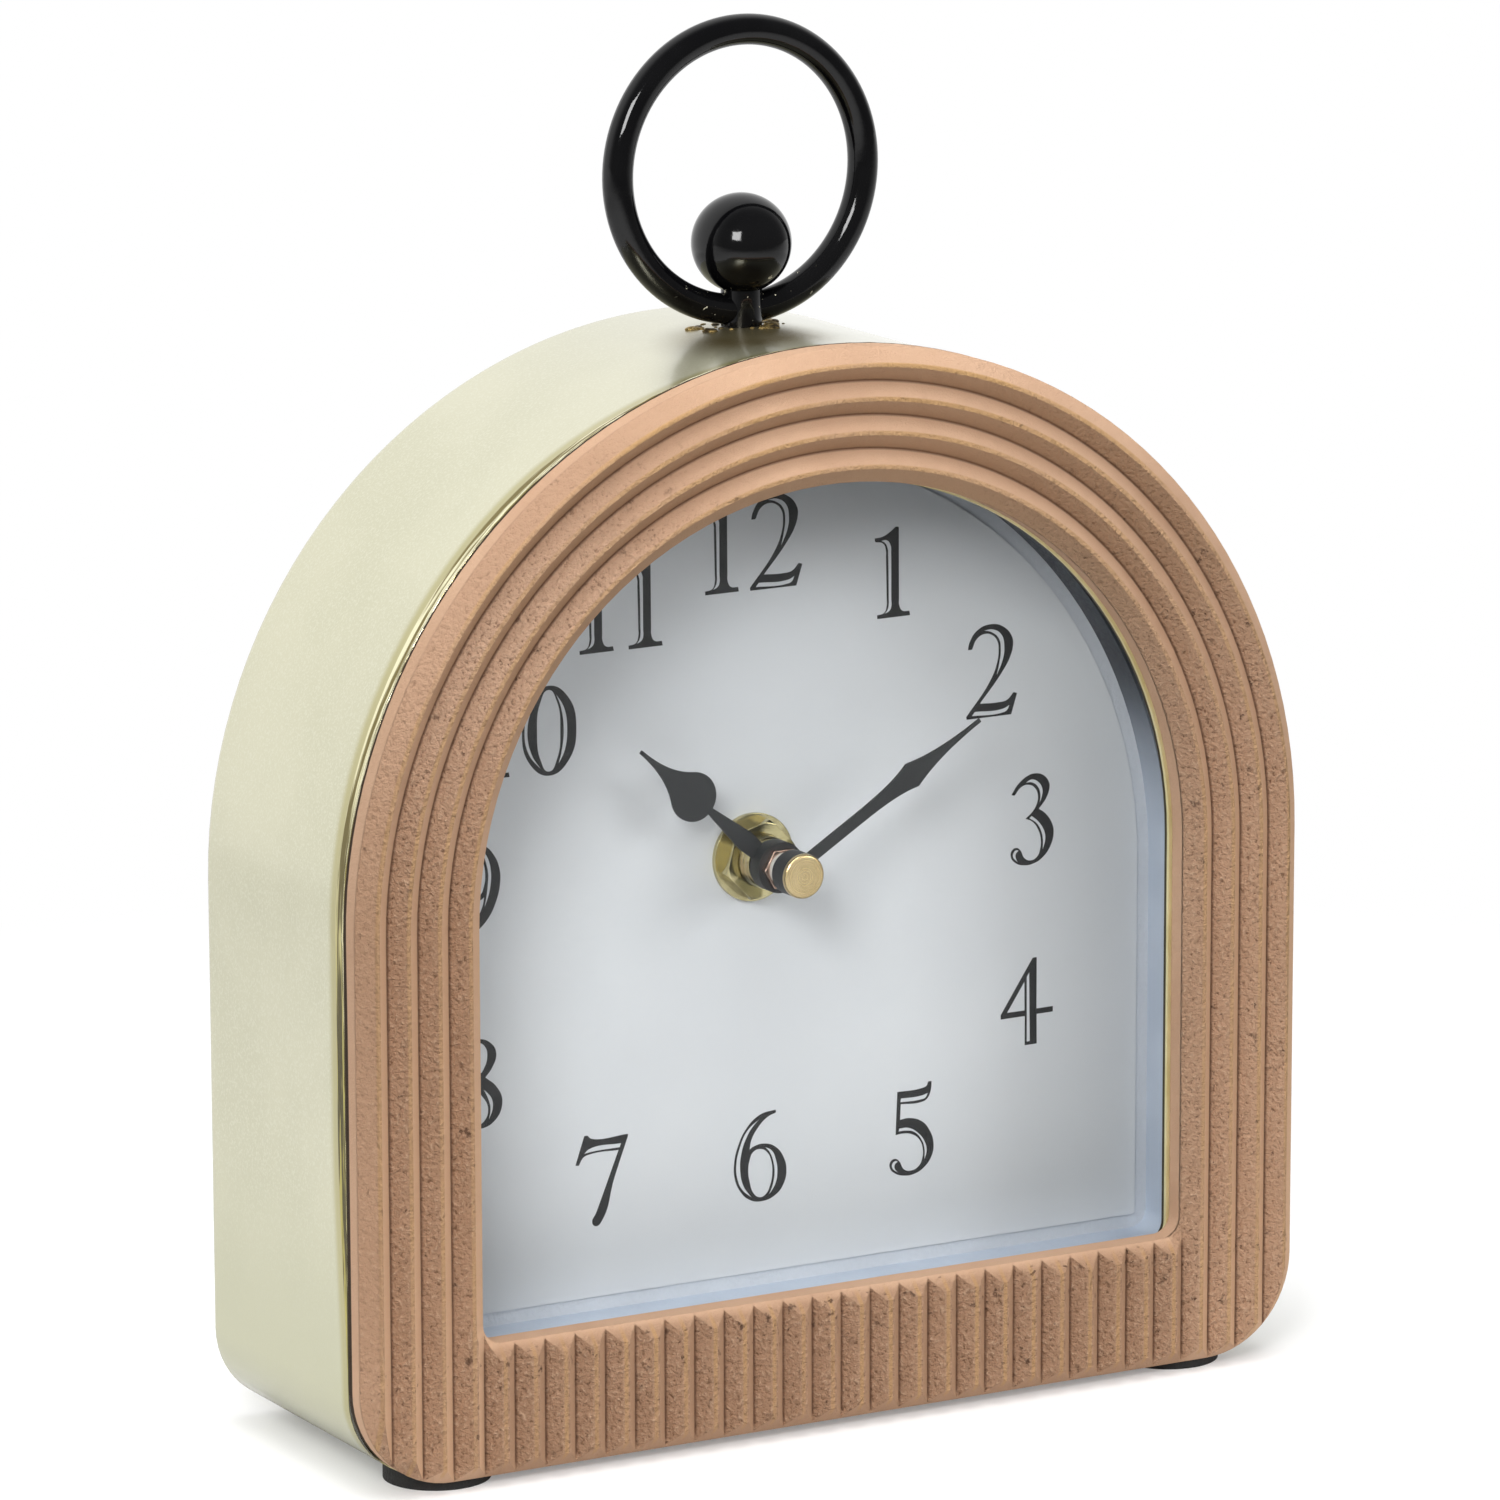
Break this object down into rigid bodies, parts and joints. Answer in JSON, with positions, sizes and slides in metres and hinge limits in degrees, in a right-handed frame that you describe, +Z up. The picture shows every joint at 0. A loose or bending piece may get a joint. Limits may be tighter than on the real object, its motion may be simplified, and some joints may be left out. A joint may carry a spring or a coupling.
{
  "type": "arch-top mantel clock",
  "caption": "Round-topped mantel clock: fluted board frame on a sheet-metal case, recessed dial behind glass, ring-and-ball finial and a battery movement with its wheel train.",
  "frame": {"origin": "centre of the bounding box in X and Y, on the surface under the foot pads", "axes": "+Z up, -Y out of the dial towards the viewer, +X to the viewer's right"},
  "size_m": [0.16, 0.0544, 0.2092],
  "materials": {
    "frame_board": "matte, brushed paint with worn crests",
    "gold_plate": "gold lacquer",
    "case_metal": "satin champagne",
    "window_glass": "clear",
    "spring_steel": "plain sheet",
    "dial_board": "plain fibre board",
    "dial_paper": "matte white print",
    "rim_strip": "pale grey strip",
    "pillar_metal": "turned",
    "screw_steel": "zinc plated",
    "foot_rubber": "matte black",
    "finial_black": "gloss black",
    "hand_black": "matte charcoal",
    "collet_copper": "bright copper",
    "brass": "turned",
    "movement_black": "fine moulded grain",
    "wheel_white": "moulded",
    "arbor_steel": "turned",
    "magnet_dark": "sintered",
    "stator_steel": "stamped",
    "coil_copper": "enamelled wire",
    "board_green": "printed board",
    "chip_resin": "resin drop",
    "crystal_can": "plated can",
    "cell_sleeve": "plain printed sleeve"
  },
  "bodies": {
    "case": {"front_frame": "frame_board", "front_plate": "gold_plate", "case_shell": "case_metal", "window_glass": "window_glass", "glass_clips": "spring_steel", "dial_board": "dial_board", "dial_face": "dial_paper", "dial_rim": "rim_strip", "dial_pillars": "pillar_metal", "pillar_screws": "screw_steel", "foot_pads": "foot_rubber", "finial_ring": "finial_black", "finial_post": "finial_black", "finial_ball": "finial_black", "dial_washer": "brass", "hex_nut": "brass", "threaded_bush": "brass", "rubber_washer": "foot_rubber", "movement_housing": "movement_black", "movement_cover": "movement_black", "stator": "stator_steel", "coil_core": "stator_steel", "coil_bobbin": "wheel_white", "coil_winding": "coil_copper", "circuit_board": "board_green", "quartz_crystal": "crystal_can", "control_chip": "chip_resin", "negative_contact": "spring_steel", "positive_contact": "spring_steel"},
    "minute": {"minute_arbor": "arbor_steel", "minute_hand": "hand_black", "cap_nut": "brass", "clutch_spring": "spring_steel", "clutch_collar": "brass"},
    "hour": {"hour_wheel": "wheel_white", "hour_hand": "hand_black", "hour_collet": "collet_copper"},
    "setting": {"setting_wheel": "wheel_white", "setting_knob": "movement_black"},
    "rotor": {"rotor_pinion": "wheel_white", "rotor_magnet": "magnet_dark"},
    "step": {"step_wheel": "wheel_white"},
    "seconds": {"seconds_wheel": "wheel_white"},
    "third": {"third_wheel": "wheel_white"},
    "centre": {"centre_wheel": "wheel_white"},
    "cell": {"battery": "cell_sleeve"}
  },
  "joints": [
    {"name": "minute_turn", "type": "hinge", "parent": "case", "child": "minute", "pos_m": [0, 0.01, 0.0825], "axis": [0, 1, 0], "continuous": true},
    {"name": "hour_turn", "type": "hinge", "parent": "case", "child": "hour", "pos_m": [0, 0.01, 0.0825], "axis": [0, 1, 0], "continuous": true},
    {"name": "setting_turn", "type": "hinge", "parent": "case", "child": "setting", "pos_m": [0.01125, 0.01, 0.08489], "axis": [0, 1, 0], "continuous": true},
    {"name": "rotor_turn", "type": "hinge", "parent": "case", "child": "rotor", "pos_m": [0.01523, 0.01, 0.09594], "axis": [0, 1, 0], "continuous": true},
    {"name": "step_turn", "type": "hinge", "parent": "case", "child": "step", "pos_m": [0.00949, 0.01, 0.09996], "axis": [0, 1, 0], "continuous": true},
    {"name": "seconds_turn", "type": "hinge", "parent": "case", "child": "seconds", "pos_m": [0.00273, 0.01, 0.0975], "axis": [0, 1, 0], "continuous": true},
    {"name": "third_turn", "type": "hinge", "parent": "case", "child": "third", "pos_m": [-0.00507, 0.01, 0.09204], "axis": [0, 1, 0], "continuous": true},
    {"name": "centre_turn", "type": "hinge", "parent": "case", "child": "centre", "pos_m": [0, 0.01, 0.0825], "axis": [0, 1, 0], "continuous": true},
    {"name": "cell_slide", "type": "slide", "parent": "case", "child": "cell", "axis": [0, 1, 0], "range_m": [0, 0.03]}
  ],
  "couplings": [
    {"joint": "hour_turn", "follows": "minute_turn", "ratio": 0.083333},
    {"joint": "setting_turn", "follows": "minute_turn", "ratio": -0.33333},
    {"joint": "step_turn", "follows": "rotor_turn", "ratio": -0.16667},
    {"joint": "seconds_turn", "follows": "rotor_turn", "ratio": 0.033333},
    {"joint": "third_turn", "follows": "rotor_turn", "ratio": -0.0044444},
    {"joint": "centre_turn", "follows": "rotor_turn", "ratio": 0.00055556}
  ]
}
